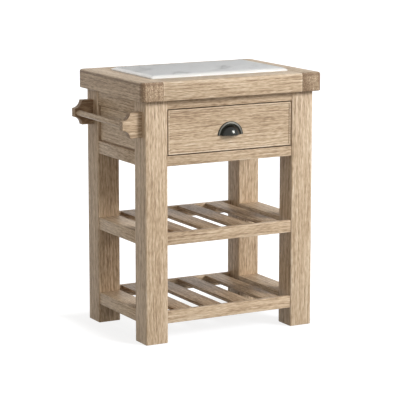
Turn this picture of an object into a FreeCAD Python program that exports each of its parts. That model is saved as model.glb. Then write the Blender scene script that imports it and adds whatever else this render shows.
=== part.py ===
import FreeCAD, Part
import math
import os

# Kitchen island: a timber leg frame with one drawer, two slatted shelves, a framed top
# with a stone inset, and a towel rail on the left side.
# Millimetres, +Z up, front towards -Y, origin on the floor midway between the legs.

# Worktop frame
top_length = 700.0
top_depth = 500.0
top_thickness = 65.0
top_overhang = 23.0
top_side_board = 80.0
top_cross_board = 90.0
top_corner_radius = 18.0
top_edge_radius = 8.0
top_under_chamfer = 3.0
top_tenon_length = 25.0
top_tenon_thickness = 20.0
top_tenon_shoulder = 15.0

# Stone inset and the panel that carries it
stone_thickness = 20.0
stone_proud = 11.0
stone_gap = 3.0
stone_corner_radius = 4.0
stone_bevel_width = 14.0
stone_bevel_height = 7.5
sub_top_thickness = 12.0

# Legs
leg_size = 84.0
leg_edge_radius = 5.0

# Heights from the floor up
floor_gap = 67.5
shelf_rail_height = 43.0
bay_height = 228.5
front_bottom_rail_height = 35.0
drawer_opening_height = 158.0
front_top_rail_height = 31.5

# Rails and panels of the carcass
rail_setback = 3.0
rail_thickness = 22.0
apron_top_rail_height = 53.0
apron_bottom_rail_height = 45.0
panel_thickness = 10.0
panel_recess = 8.0
panel_tongue = 8.0
groove_gap = 0.5
tenon_length = 25.0
tenon_thickness = 10.0
tenon_shoulder = 9.0
tenon_end_gap = 1.0
edge_ease = 1.5

# Slatted shelves
shelf_cross_thickness = 16.0
shelf_cross_tenon = 8.0
shelf_side_width = 80.0
shelf_side_tenon = 40.0
slat_count = 4
slat_width = 67.0
slat_thickness = 12.0
slat_end_gap = 38.0
slat_seat = 8.0

# Drawer
drawer_gap = 3.0
drawer_front_thickness = 20.0
drawer_side_thickness = 12.0
drawer_back_thickness = 12.0
drawer_back_drop = 10.0
drawer_back_room = 27.0
drawer_bottom_thickness = 6.0
drawer_bottom_lift = 8.0
drawer_groove_depth = 6.0
running_clearance = 0.3
bead_width = 6.5
bead_radius = 1.8
field_sink = 2.0
dovetail_count = 4
dovetail_lap = 6.0
dovetail_pin = 10.0
dovetail_slope = 1.0 / 7.0

# Runners, guides, kickers and stops that carry the drawer
runner_width = 30.0
runner_height = 22.0
guide_width = 22.0
guide_height = 22.0
guide_clearance = 0.6
kicker_height = 20.0
stop_length = 15.0
stop_height = 15.0

# Cup pull, a half dome with a flat flange, open at the bottom
pull_flange_radius = 49.5
pull_flange_thickness = 2.5
pull_flange_chamfer = 1.0
pull_dome_radius = 38.3
pull_depth = 24.0
pull_wall = 2.0
pull_hollow_steps = 3
pull_cut_rise = 3.0
pull_post_radius = 4.5
pull_post_length = 8.0
pull_post_angle = 13.0
pull_post_clearance = 0.2
pull_screw_engagement = 6.0

# Towel rail
bracket_height = 86.0
bracket_thickness = 25.0
bracket_reach = 71.0
bracket_shoulder = 44.0
bracket_lip = 6.0
bracket_tip_height = 30.0
bracket_cove_depth = 5.5
bracket_drop = 80.5
bracket_inset = 39.0
bar_diameter = 20.0
bar_cover = 4.5
bar_socket_depth = 12.0
bar_clearance = 0.2
loose_tenon_length = 40.0
loose_tenon_height = 50.0
loose_tenon_thickness = 10.0

# Wooden buttons that hold the top down, and screws
button_length = 45.0
button_width = 30.0
button_thickness = 24.0
button_tongue_length = 9.0
button_tongue_thickness = 10.0
button_tongue_drop = 9.0
button_slot_gap = 0.5
button_spacing = 150.0
button_screw_length = 44.0
screw_shank_radius = 2.0
screw_head_radius = 4.0
screw_head_height = 2.4
screw_clearance = 0.2

# Places worked out from the sizes above
leg_x = top_length / 2.0 - top_overhang
leg_y = top_depth / 2.0 - top_overhang
clear_x = leg_x - leg_size
clear_y = leg_y - leg_size
face_x = leg_x - rail_setback
face_y = leg_y - rail_setback
inner_x = face_x - rail_thickness
inner_y = face_y - rail_thickness

lower_shelf_top = floor_gap + shelf_rail_height
upper_shelf_top = lower_shelf_top + bay_height + shelf_rail_height
apron_low = upper_shelf_top + bay_height
opening_low = apron_low + front_bottom_rail_height
opening_high = opening_low + drawer_opening_height
leg_top = opening_high + front_top_rail_height
worktop_height = leg_top + top_thickness
panel_low = apron_low + apron_bottom_rail_height
panel_high = leg_top - apron_top_rail_height

stone_top = worktop_height + stone_proud
stone_low = stone_top - stone_thickness
well_x = top_length / 2.0 - top_side_board
well_y = top_depth / 2.0 - top_cross_board

drawer_x = clear_x - drawer_gap
drawer_face = -face_y
drawer_field = drawer_face + field_sink
drawer_front_back = drawer_face + drawer_front_thickness
drawer_rear = inner_y - drawer_back_room
drawer_low = opening_low + drawer_gap
drawer_high = opening_high - drawer_gap
drawer_side_low = opening_low + running_clearance
drawer_bottom_low = drawer_side_low + drawer_bottom_lift
drawer_bottom_high = drawer_bottom_low + drawer_bottom_thickness
drawer_inner_x = drawer_x - drawer_side_thickness

pull_axis_z = (drawer_low + drawer_high - pull_flange_radius - pull_cut_rise) / 2.0

bracket_mid_y = leg_y - bracket_inset
bracket_mid_z = leg_top - bracket_drop
bar_x = -(leg_x + bracket_reach - bar_cover - bar_diameter / 2.0)

same_place = 0.01
V = FreeCAD.Vector
AXES = {"x": V(1, 0, 0), "y": V(0, 1, 0), "z": V(0, 0, 1)}
pieces = {}


def block(x_pair, y_pair, z_pair):
    """Box between two corners, each pair of places in either order."""
    low = V(min(x_pair), min(y_pair), min(z_pair))
    return Part.makeBox(abs(x_pair[1] - x_pair[0]), abs(y_pair[1] - y_pair[0]), abs(z_pair[1] - z_pair[0]), low)


def run(axis, along, across, z_pair):
    """Box that runs along X or Y."""
    if axis == "x":
        return block(along, across, z_pair)
    return block(across, along, z_pair)


def flipped(shape, axis):
    """The shape mirrored through the origin plane square to an axis."""
    return shape.mirror(V(0, 0, 0), AXES[axis])


def rod(start, direction, radius, length):
    """Round rod from a point along a direction."""
    return Part.makeCylinder(radius, length, start, direction)


def lies(low, high, place):
    """True where an edge's extent along one axis is a single place."""
    return abs(low - place) < same_place and abs(high - place) < same_place


def eased(shape, radius, wanted):
    """The shape with a radius on every edge whose box passes the test."""
    return shape.makeFillet(radius, [edge for edge in shape.Edges if wanted(edge.BoundBox)])


def chamfered(shape, size, wanted):
    """The shape with a chamfer on every edge whose box passes the test."""
    return shape.makeChamfer(size, [edge for edge in shape.Edges if wanted(edge.BoundBox)])


def rail(axis, half_span, face, back, z_pair, tenon, end_gap=0.0):
    """Rail between two legs with a tenon at each end, its outer edges eased."""
    body = run(axis, (-half_span, half_span), (face, back), z_pair)

    def outer_edge(box):
        """True for the two long edges of the outer face."""
        low, high = (box.YMin, box.YMax) if axis == "x" else (box.XMin, box.XMax)
        return lies(low, high, face) and box.ZLength < same_place

    body = chamfered(body, edge_ease, outer_edge)
    middle = (face + back) / 2.0
    reach = half_span + tenon_length + end_gap
    heights = (z_pair[0] + tenon_shoulder, z_pair[1] - tenon_shoulder)
    tongue = run(axis, (-reach, reach), (middle - tenon / 2.0, middle + tenon / 2.0), heights)
    return body.fuse(tongue).removeSplitter()


def panel(axis, half_span, face, grow=0.0):
    """Flat panel that stands in grooves on all four edges."""
    reach = half_span + panel_tongue - groove_gap + grow
    edge = panel_tongue - groove_gap + grow
    inward = -1.0 if face > 0 else 1.0
    outer = face + inward * panel_recess
    depth = (outer, outer + inward * panel_thickness)
    return run(axis, (-reach, reach), depth, (panel_low - edge, panel_high + edge))


def screw(start, direction, length):
    """Flat-headed screw whose head sits on the face at its start."""
    head = rod(start, -direction, screw_head_radius, screw_head_height)
    return head.fuse(rod(start, direction, screw_shank_radius, length)).removeSplitter()


def screw_hole(start, direction, length):
    """Clearance hole for such a screw."""
    return rod(start, direction, screw_shank_radius + screw_clearance, length + screw_clearance)


# Carcass rails and panels, as pieces and as the cutters of their mortises and grooves
def carcass_set(end_gap=0.0, grow=0.0):
    """Every rail and panel that is let into the legs, by name."""
    bottom = (apron_low, panel_low)
    top = (panel_high, leg_top)
    above = (opening_high, leg_top)
    below = (apron_low, opening_low)
    made = {
        "front_top_rail": rail("x", clear_x, -face_y, -inner_y, above, tenon_thickness, end_gap),
        "front_bottom_rail": rail("x", clear_x, -face_y, -inner_y, below, tenon_thickness, end_gap),
        "back_top_rail": rail("x", clear_x, face_y, inner_y, top, tenon_thickness, end_gap),
        "back_panel": panel("x", clear_x, face_y, grow),
        "back_bottom_rail": rail("x", clear_x, face_y, inner_y, bottom, tenon_thickness, end_gap),
    }
    for side, sign in (("left", -1.0), ("right", 1.0)):
        outer, inner = sign * face_x, sign * inner_x
        made["side_top_rail_" + side] = rail("y", clear_y, outer, inner, top, tenon_thickness, end_gap)
        made["side_panel_" + side] = panel("y", clear_y, outer, grow)
        made["side_bottom_rail_" + side] = rail("y", clear_y, outer, inner, bottom, tenon_thickness, end_gap)
    return made


# Shelves
def shelf_rails(prefix, shelf_top, end_gap=0.0):
    """Front, back and two broad side rails of one shelf."""
    heights = (shelf_top - shelf_rail_height, shelf_top)
    back_y = face_y - shelf_cross_thickness
    inner = face_x - shelf_side_width
    return {
        prefix + "_front_rail": rail("x", clear_x, -face_y, -back_y, heights, shelf_cross_tenon, end_gap),
        prefix + "_back_rail": rail("x", clear_x, face_y, back_y, heights, shelf_cross_tenon, end_gap),
        prefix + "_side_rail_left": rail("y", clear_y, -face_x, -inner, heights, shelf_side_tenon, end_gap),
        prefix + "_side_rail_right": rail("y", clear_y, face_x, inner, heights, shelf_side_tenon, end_gap),
    }


def shelf_slats(prefix, shelf_top):
    """Slats from the front rail to the back rail, their tops level with the rails."""
    clear = 2.0 * (face_x - shelf_side_width - slat_end_gap)
    pitch = (clear - slat_width) / (slat_count - 1)
    reach = face_y - shelf_cross_thickness + slat_seat

    def upper_edge(box):
        """True for the two long edges of a slat's top."""
        return lies(box.ZMin, box.ZMax, shelf_top) and box.XLength < same_place

    made = {}
    for index in range(slat_count):
        left = -clear / 2.0 + index * pitch
        slat = block((left, left + slat_width), (-reach, reach), (shelf_top - slat_thickness, shelf_top))
        made[prefix + "_slat_" + str(index + 1)] = chamfered(slat, edge_ease, upper_edge)
    return made


def add_shelf(prefix, shelf_top):
    """Put one shelf's rails, with their slat housings, and slats among the pieces."""
    slats = shelf_slats(prefix, shelf_top)
    housings = [block((s.BoundBox.XMin, s.BoundBox.XMax), (s.BoundBox.YMin, s.BoundBox.YMax),
                      (s.BoundBox.ZMin, s.BoundBox.ZMax)) for s in slats.values()]
    for name, board in shelf_rails(prefix, shelf_top).items():
        pieces[name] = board.cut(housings)
    pieces.update(slats)


# Legs
def post(sign_x, sign_y):
    """One square post with its long edges rounded."""
    body = block((sign_x * leg_x, sign_x * clear_x), (sign_y * leg_y, sign_y * clear_y), (0.0, leg_top))
    return eased(body, leg_edge_radius, lambda box: box.ZLength > leg_top - same_place)


# Towel rail
def bracket():
    """Shaped bracket on the left: a block with a cove above and below its blunt tip."""
    half, tip = bracket_height / 2.0, bracket_tip_height / 2.0
    lip = half - bracket_lip
    chord = V(bracket_reach - bracket_shoulder, 0, tip - lip)
    inward = V(chord.z, 0, -chord.x).normalize() * bracket_cove_depth
    middle = V(bracket_shoulder, 0, lip) + chord * 0.5 + inward
    upper = [V(0, 0, half), V(bracket_shoulder, 0, half), V(bracket_shoulder, 0, lip), V(bracket_reach, 0, tip)]
    lower = [V(p.x, 0, -p.z) for p in reversed(upper)]
    edges = [
        Part.makeLine(upper[0], upper[1]),
        Part.makeLine(upper[1], upper[2]),
        Part.Arc(upper[2], middle, upper[3]).toShape(),
        Part.makeLine(upper[3], lower[0]),
        Part.Arc(lower[0], V(middle.x, 0, -middle.z), lower[1]).toShape(),
        Part.makeLine(lower[1], lower[2]),
        Part.makeLine(lower[2], lower[3]),
        Part.makeLine(lower[3], upper[0]),
    ]
    solid = Part.Face(Part.Wire(edges)).extrude(V(0, bracket_thickness, 0))
    solid.translate(V(0, -bracket_thickness / 2.0, 0))
    solid = flipped(solid, "x")
    solid.translate(V(-leg_x, 0, bracket_mid_z))
    return solid


def loose_tenons(end_gap):
    """Loose tenons between the left legs and the brackets, or with a gap their mortises."""
    reach = loose_tenon_length / 2.0 + end_gap
    half_y, half_z = loose_tenon_thickness / 2.0, loose_tenon_height / 2.0
    heights = (bracket_mid_z - half_z, bracket_mid_z + half_z)
    return [block((-leg_x - reach, -leg_x + reach), (y - half_y, y + half_y), heights)
            for y in (-bracket_mid_y, bracket_mid_y)]


def add_towel_rail():
    """Brackets, bar and loose tenons of the towel rail."""
    inner_face = bracket_mid_y - bracket_thickness / 2.0
    reach = inner_face + bar_socket_depth
    socket = rod(V(bar_x, -reach, bracket_mid_z), AXES["y"], bar_diameter / 2.0 + bar_clearance, 2.0 * reach)
    for name, y in (("towel_bracket_front", -bracket_mid_y), ("towel_bracket_rear", bracket_mid_y)):
        shaped = bracket()
        shaped.translate(V(0, y, 0))
        pieces[name] = shaped.cut([socket] + loose_tenons(tenon_end_gap))
    end = bar_clearance - reach
    pieces["towel_bar"] = rod(V(bar_x, end, bracket_mid_z), AXES["y"], bar_diameter / 2.0, -2.0 * end)
    pieces["towel_bracket_tenons"] = Part.makeCompound(loose_tenons(0.0))


# Worktop
def add_worktop():
    """Four boards joined by tenons, the grooved sub-top and the stone inset."""
    half_x, half_y = top_length / 2.0, top_depth / 2.0
    heights = (leg_top, worktop_height)

    side = block((-half_x, -well_x), (-half_y, half_y), heights)
    side = eased(side, top_corner_radius, lambda box: lies(box.XMin, box.XMax, -half_x)
                 and box.ZLength > top_thickness - same_place)

    def outer_edge(place):
        """Test for the outer edges of the left board at one height."""
        return lambda box: lies(box.ZMin, box.ZMax, place) and box.XMin < -well_x - same_place

    side = eased(side, top_edge_radius, outer_edge(worktop_height))
    side = chamfered(side, top_under_chamfer, outer_edge(leg_top))

    front = block((-well_x, well_x), (-half_y, -well_y), heights)

    def front_edge(place):
        """Test for the outer edge of the front board at one height."""
        return lambda box: lies(box.YMin, box.YMax, -half_y) and lies(box.ZMin, box.ZMax, place)

    front = eased(front, top_edge_radius, front_edge(worktop_height))
    front = chamfered(front, top_under_chamfer, front_edge(leg_top))
    middle = (leg_top + worktop_height) / 2.0
    tongue_z = (middle - top_tenon_thickness / 2.0, middle + top_tenon_thickness / 2.0)
    tongue_y = (-half_y + top_tenon_shoulder, -well_y - top_tenon_shoulder)

    def tongues(end_gap):
        """The tenon through the front board's length, ends past both its shoulders."""
        reach = well_x + top_tenon_length + end_gap
        return block((-reach, reach), tongue_y, tongue_z)

    front = front.fuse(tongues(0.0)).removeSplitter()
    mortises = [tongues(tenon_end_gap), flipped(tongues(tenon_end_gap), "y")]

    def sub_top(grow):
        """Sub-top panel, or with growth the groove that holds it."""
        edge = panel_tongue - groove_gap + grow
        return block((-well_x - edge, well_x + edge), (-well_y - edge, well_y + edge),
                     (stone_low - sub_top_thickness, stone_low))

    groove = sub_top(groove_gap)
    side = side.cut(mortises + [groove])
    front = front.cut(groove)
    holes = at_buttons(button_screw(screw_hole))
    pieces["top_board_left"] = side.cut(holes)
    pieces["top_board_right"] = flipped(side, "x").cut(holes)
    pieces["top_board_front"] = front
    pieces["top_board_rear"] = flipped(front, "y")
    pieces["sub_top_panel"] = sub_top(0.0)

    stone_x, stone_y = well_x - stone_gap, well_y - stone_gap
    stone = block((-stone_x, stone_x), (-stone_y, stone_y), (stone_low, stone_top))
    stone = eased(stone, stone_corner_radius, lambda box: box.ZLength > stone_thickness - same_place)

    def bevel(out, half, along):
        """Wedge that takes the upper edge off the side of the stone that looks one way."""
        low = V(0, 0, stone_top - 2.0 * stone_bevel_height) + out * (half + stone_bevel_width) - along
        high = V(0, 0, stone_top) + out * (half + stone_bevel_width) - along
        inner = V(0, 0, stone_top) + out * (half - stone_bevel_width) - along
        return Part.Face(Part.makePolygon([low, high, inner, low])).extrude(along * 2.0)

    right = bevel(AXES["x"], stone_x, AXES["y"] * top_depth)
    rear = bevel(AXES["y"], stone_y, AXES["x"] * top_length)
    pieces["marble_inset"] = stone.cut([right, flipped(right, "x"), rear, flipped(rear, "y")])


# Buttons that hold the top to the side rails
def button_places():
    """Turn about Z and top corner point of each button, on the inner faces of the side rails."""
    halves = (-button_spacing / 2.0, button_spacing / 2.0)
    left = [(0.0, V(-inner_x, y, leg_top)) for y in halves]
    return left + [(180.0, V(inner_x, y, leg_top)) for y in halves]


def at_buttons(shape):
    """Copies of a shape, drawn at the origin, at every button's place."""
    copies = []
    for turn, corner in button_places():
        copy = shape.copy()
        copy.rotate(V(0, 0, 0), AXES["z"], turn)
        copy.translate(corner)
        copies.append(copy)
    return copies


def button_tongue(grow):
    """Tongue of a button, or with growth the slot in the rail."""
    half = button_width / 2.0 + grow
    high = grow - button_tongue_drop
    low = -button_tongue_drop - button_tongue_thickness - grow
    return block((-button_tongue_length - grow, 0.0), (-half, half), (low, high))


def button_screw(maker):
    """Screw up through a button into the top, or its hole."""
    return maker(V(button_length / 2.0, 0, -button_thickness), AXES["z"], button_screw_length)


def add_buttons():
    """Wooden buttons and their screws."""
    half = button_width / 2.0
    body = block((0.0, button_length), (-half, half), (-button_thickness, 0.0))
    button = body.fuse(button_tongue(0.0)).removeSplitter().cut(button_screw(screw_hole))
    pieces["top_buttons"] = Part.makeCompound(at_buttons(button))
    pieces["top_button_screws"] = Part.makeCompound(at_buttons(button_screw(screw)))


# Drawer
def tails(root_y, tip_y, z_pair):
    """Dovetails along an end of the left drawer side, narrow at the root, wide at the tip."""
    pitch = (z_pair[1] - z_pair[0]) / dovetail_count
    half_tip = (pitch - dovetail_pin) / 2.0
    half_root = half_tip - abs(tip_y - root_y) * dovetail_slope
    solids = []
    for index in range(dovetail_count):
        middle = z_pair[0] + (index + 0.5) * pitch
        corners = [V(-drawer_x, root_y, middle - half_root), V(-drawer_x, tip_y, middle - half_tip),
                   V(-drawer_x, tip_y, middle + half_tip), V(-drawer_x, root_y, middle + half_root)]
        face = Part.Face(Part.makePolygon(corners + corners[:1]))
        solids.append(face.extrude(V(drawer_side_thickness, 0, 0)))
    return solids


def drawer_bottom(grow):
    """Bottom panel of the drawer, or with growth the groove that holds it."""
    edge = drawer_groove_depth - groove_gap + grow
    return block((-drawer_inner_x - edge, drawer_inner_x + edge), (drawer_front_back - edge, drawer_rear),
                 (drawer_bottom_low, drawer_bottom_high))


def pull_points(y):
    """Axis points of the cup pull's two posts at one depth, on the middle of its flange."""
    ring = (pull_flange_radius + pull_dome_radius) / 2.0
    x = ring * math.cos(math.radians(pull_post_angle))
    z = pull_axis_z + ring * math.sin(math.radians(pull_post_angle))
    return [V(-x, y, z), V(x, y, z)]


def pull_screws(maker):
    """Screws from inside the drawer into the cup pull's posts, or their holes."""
    length = drawer_front_back - drawer_field - pull_post_length + pull_screw_engagement
    return [maker(point, -AXES["y"], length) for point in pull_points(drawer_front_back)]


def pull_posts(spare):
    """Posts of the cup pull, let into the drawer front, or with spare room their sockets."""
    return [rod(point, AXES["y"], pull_post_radius + spare, pull_post_length + spare)
            for point in pull_points(drawer_field)]


def add_drawer_box():
    """Drawer front, sides, back and bottom, dovetailed at all four corners."""
    back_high = drawer_high - drawer_back_drop
    back_inside = drawer_rear - drawer_back_thickness
    tail_tip = drawer_face + dovetail_lap
    groove = drawer_bottom(groove_gap)

    front_tails = tails(drawer_front_back, tail_tip, (drawer_low, drawer_high))
    front = block((-drawer_x, drawer_x), (drawer_face, drawer_front_back), (drawer_low, drawer_high))
    field = block((-drawer_x + bead_width, drawer_x - bead_width), (drawer_face, drawer_field),
                  (drawer_low + bead_width, drawer_high - bead_width))
    front = eased(front.cut(field), bead_radius, lambda box: lies(box.YMin, box.YMax, drawer_face))
    front = front.cut(front_tails + [flipped(tail, "x") for tail in front_tails])

    back_tails = tails(back_inside, drawer_rear, (drawer_bottom_high, back_high))
    back = block((-drawer_x, drawer_x), (back_inside, drawer_rear), (drawer_bottom_high, back_high))
    back = back.cut(back_tails + [flipped(tail, "x") for tail in back_tails])

    side = block((-drawer_x, -drawer_inner_x), (drawer_front_back, drawer_rear), (drawer_side_low, drawer_high))
    side = side.cut([back, groove]).fuse([tail.cut(groove) for tail in front_tails]).removeSplitter()

    sockets = pull_posts(pull_post_clearance) + pull_screws(screw_hole)

    pieces["drawer_front"] = front.cut([groove] + sockets)
    pieces["drawer_side_left"] = side
    pieces["drawer_side_right"] = flipped(side, "x")
    pieces["drawer_back"] = back
    pieces["drawer_bottom"] = drawer_bottom(0.0)


def pull_hollow(ball, back):
    """Hollow of the pull: a revolved profile of short flats, one wall inside the dome's ball."""
    inner = ball - pull_wall
    widest = math.acos(back / inner)
    angles = [widest * step / pull_hollow_steps for step in range(pull_hollow_steps + 1)]
    points = [V(inner * math.sin(angle), back - inner * math.cos(angle), 0) for angle in angles]
    profile = Part.Face(Part.makePolygon([V(0, 0, 0)] + points + [V(0, 0, 0)]))
    return profile.revolve(V(0, 0, 0), AXES["y"], 360.0)


def add_cup_pull():
    """Half-dome pull with flange and posts, cut level at the bottom, and its screws."""
    ball = (pull_dome_radius ** 2 + pull_depth ** 2) / (2.0 * pull_depth)
    back = ball - pull_depth
    flange = rod(V(0, 0, 0), -AXES["y"], pull_flange_radius, pull_flange_thickness)
    flange = chamfered(flange, pull_flange_chamfer, lambda box: box.YMax < same_place - pull_flange_thickness)
    across = (-pull_flange_radius, pull_flange_radius)
    keep = block(across, (-pull_depth, 0.0), (pull_cut_rise, pull_flange_radius))
    shell = flange.fuse(Part.makeSphere(ball, V(0, back, 0))).cut(pull_hollow(ball, back)).common(keep)
    shell.translate(V(0, drawer_field, pull_axis_z))
    pieces["cup_pull"] = shell.fuse(pull_posts(0.0)).removeSplitter().cut(pull_screws(screw_hole))
    pieces["cup_pull_screws"] = Part.makeCompound(pull_screws(screw))


# Runners, guides, kickers and stops
def add_drawer_gear():
    """The carcass pieces that carry, guide and stop the drawer."""
    guide_inner = drawer_x + guide_clearance
    guide_outer = guide_inner + guide_width
    runner_z = (opening_low - runner_height, opening_low)
    narrow = block((-clear_x, -clear_x + runner_width), (-inner_y, inner_y), runner_z)
    wide = block((-guide_outer, -clear_x), (-clear_y, clear_y), runner_z)
    left = {
        "drawer_runner": narrow.fuse(wide).removeSplitter(),
        "drawer_guide": block((-guide_outer, -guide_inner), (-clear_y, clear_y),
                              (opening_low, opening_low + guide_height)),
        "drawer_kicker": block((-clear_x, -clear_x + runner_width), (-inner_y, inner_y),
                               (opening_high, opening_high + kicker_height)),
    }
    for name, shape in left.items():
        pieces[name + "_left"] = shape
        pieces[name + "_right"] = flipped(shape, "x")
    stop_y = drawer_rear + running_clearance
    stop = block((-drawer_x, -drawer_inner_x), (stop_y, stop_y + stop_length),
                 (opening_low, opening_low + stop_height))
    pieces["drawer_stops"] = Part.makeCompound([stop, flipped(stop, "x")])


# Assembly
add_shelf("lower_shelf", lower_shelf_top)
add_shelf("upper_shelf", upper_shelf_top)

button_slots = at_buttons(button_tongue(button_slot_gap))
rail_grooves = [panel("x", clear_x, face_y, groove_gap), panel("y", clear_y, -face_x, groove_gap),
                panel("y", clear_y, face_x, groove_gap)]
for part_name, part_shape in carcass_set().items():
    if "panel" in part_name:
        pieces[part_name] = part_shape
    elif "top_rail" in part_name:
        pieces[part_name] = part_shape.cut(rail_grooves + button_slots)
    else:
        pieces[part_name] = part_shape.cut(rail_grooves)

leg_cutters = list(carcass_set(tenon_end_gap, groove_gap).values())
leg_cutters += list(shelf_rails("lower", lower_shelf_top, tenon_end_gap).values())
leg_cutters += list(shelf_rails("upper", upper_shelf_top, tenon_end_gap).values())
leg_cutters += loose_tenons(tenon_end_gap)
for end, sign_end in (("front", -1.0), ("rear", 1.0)):
    for hand, sign_hand in (("left", -1.0), ("right", 1.0)):
        pieces["leg_" + end + "_" + hand] = post(sign_hand, sign_end).cut(leg_cutters)

add_worktop()
add_buttons()
add_towel_rail()
add_drawer_gear()
add_drawer_box()
add_cup_pull()

os.makedirs("parts", exist_ok=True)
for part_name, part_shape in pieces.items():
    part_shape.exportStep("parts/" + part_name + ".step")
    print(part_name, len(part_shape.Solids), round(part_shape.Volume), part_shape.isValid())
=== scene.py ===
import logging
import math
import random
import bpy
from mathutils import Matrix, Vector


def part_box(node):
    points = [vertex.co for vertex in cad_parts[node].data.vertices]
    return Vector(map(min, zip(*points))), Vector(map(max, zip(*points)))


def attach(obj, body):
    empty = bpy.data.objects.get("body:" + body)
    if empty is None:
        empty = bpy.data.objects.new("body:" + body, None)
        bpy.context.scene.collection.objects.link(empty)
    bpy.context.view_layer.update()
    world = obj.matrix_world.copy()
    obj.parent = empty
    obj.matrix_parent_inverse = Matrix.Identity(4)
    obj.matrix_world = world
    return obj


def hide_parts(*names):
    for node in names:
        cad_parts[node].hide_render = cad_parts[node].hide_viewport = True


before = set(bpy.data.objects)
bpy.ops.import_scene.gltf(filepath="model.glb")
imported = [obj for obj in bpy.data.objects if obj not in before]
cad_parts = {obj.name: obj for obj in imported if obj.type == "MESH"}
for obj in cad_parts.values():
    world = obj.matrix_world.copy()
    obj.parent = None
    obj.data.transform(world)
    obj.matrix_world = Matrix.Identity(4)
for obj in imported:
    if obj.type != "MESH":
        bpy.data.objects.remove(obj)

# Kitchen island of limed oak: leg frame, slatted shelves, one drawer with a cup pull,
# a thick framed top with a marble inset and a towel rail on the left.
# Metres, +Z up, front towards -Y, in the frame of the solids.

import zlib
from contextlib import contextmanager
from dataclasses import dataclass
from enum import Enum
from typing import Callable, Iterator, Optional, Union

import bpy
from mathutils import Vector

LOG = logging.getLogger("kitchen_island")
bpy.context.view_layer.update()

Pair = tuple[float, float]
Triple = tuple[float, float, float]
Colour = Triple
EdgeTest = Callable[[Vector, Vector], bool]
UP: Triple = (0.0, 0.0, 1.0)
DOWN: Triple = (0.0, 0.0, -1.0)
FRONT: Triple = (0.0, -1.0, 0.0)
BACK: Triple = (0.0, 1.0, 0.0)
LEFT: Triple = (-1.0, 0.0, 0.0)
RIGHT: Triple = (1.0, 0.0, 0.0)
ZERO: Triple = (0.0, 0.0, 0.0)
WHITE: Colour = (1.0, 1.0, 1.0)
QUARTER_TURN: float = math.pi / 2.0
NOISE_MEAN: float = 0.5
SAME_PLACE: float = 1e-5


class Grain(Enum):
    """Direction of a board's grain, as the turn that lays it along the pattern's X axis."""

    X = (0.0, 0.0, 0.0)
    Y = (0.0, 0.0, -QUARTER_TURN)
    Z = (0.0, QUARTER_TURN, 0.0)

    @property
    def along(self) -> Triple:
        """Unit vector along the grain."""
        return {"X": RIGHT, "Y": BACK, "Z": UP}[self.name]


class Body(Enum):
    """Rigid bodies of the island."""

    CARCASS = "carcass"
    DRAWER = "drawer"


class Slot(Enum):
    """Material slots of the record."""

    OAK = "limed_oak"
    MARBLE = "marble"
    PULL = "pull_metal"
    STEEL = "screw_steel"


class Pick(Enum):
    """What is picked in edit mode."""

    POINTS = (True, False, False)
    EDGES = (False, True, False)
    FACES = (False, False, True)


@dataclass(frozen=True)
class Pattern:
    """Noise of a finish.

    It has its features per metre along each axis, its octaves, the strength of the finer ones
    and, where it is cut to a mask, the values at which the mask starts and is full.
    """

    stretch: Triple
    detail: float = 2.0
    rough: float = 0.5
    limits: Pair = (0.0, 1.0)


@dataclass(frozen=True)
class Round:
    """Rounding of an edge: its radius and the faces across it."""

    radius: float
    faces: int = 2


class Sock:
    """A shader output that adds Math nodes when it is used in arithmetic."""

    def __init__(self, graph: "Graph", socket: Optional[bpy.types.NodeSocket]) -> None:
        """Keep the socket and the graph it belongs to."""
        self.graph = graph
        self.socket = socket

    def _math(self, operation: str, first: "Value", second: "Value") -> "Sock":
        """Add one Math node."""
        return self.graph.node("ShaderNodeMath", {"operation": operation}, {0: first, 1: second})

    def __add__(self, other: "Value") -> "Sock":
        """Sum."""
        return self._math("ADD", self, other)

    __radd__ = __add__

    def __sub__(self, other: "Value") -> "Sock":
        """Difference."""
        return self._math("SUBTRACT", self, other)

    def __rsub__(self, other: "Value") -> "Sock":
        """Difference from a number."""
        return self._math("SUBTRACT", other, self)

    def __mul__(self, other: "Value") -> "Sock":
        """Product."""
        return self._math("MULTIPLY", self, other)

    __rmul__ = __mul__

    def __pow__(self, other: "Value") -> "Sock":
        """Power."""
        return self._math("POWER", self, other)

    def __abs__(self) -> "Sock":
        """Size without sign."""
        return self._math("ABSOLUTE", self, 0.0)

    def highest(self, other: "Value") -> "Sock":
        """Larger of two values."""
        return self._math("MAXIMUM", self, other)

    def wave(self) -> "Sock":
        """Sine of the value."""
        return self._math("SINE", self, 0.0)


Value = Union[Sock, float]


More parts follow.
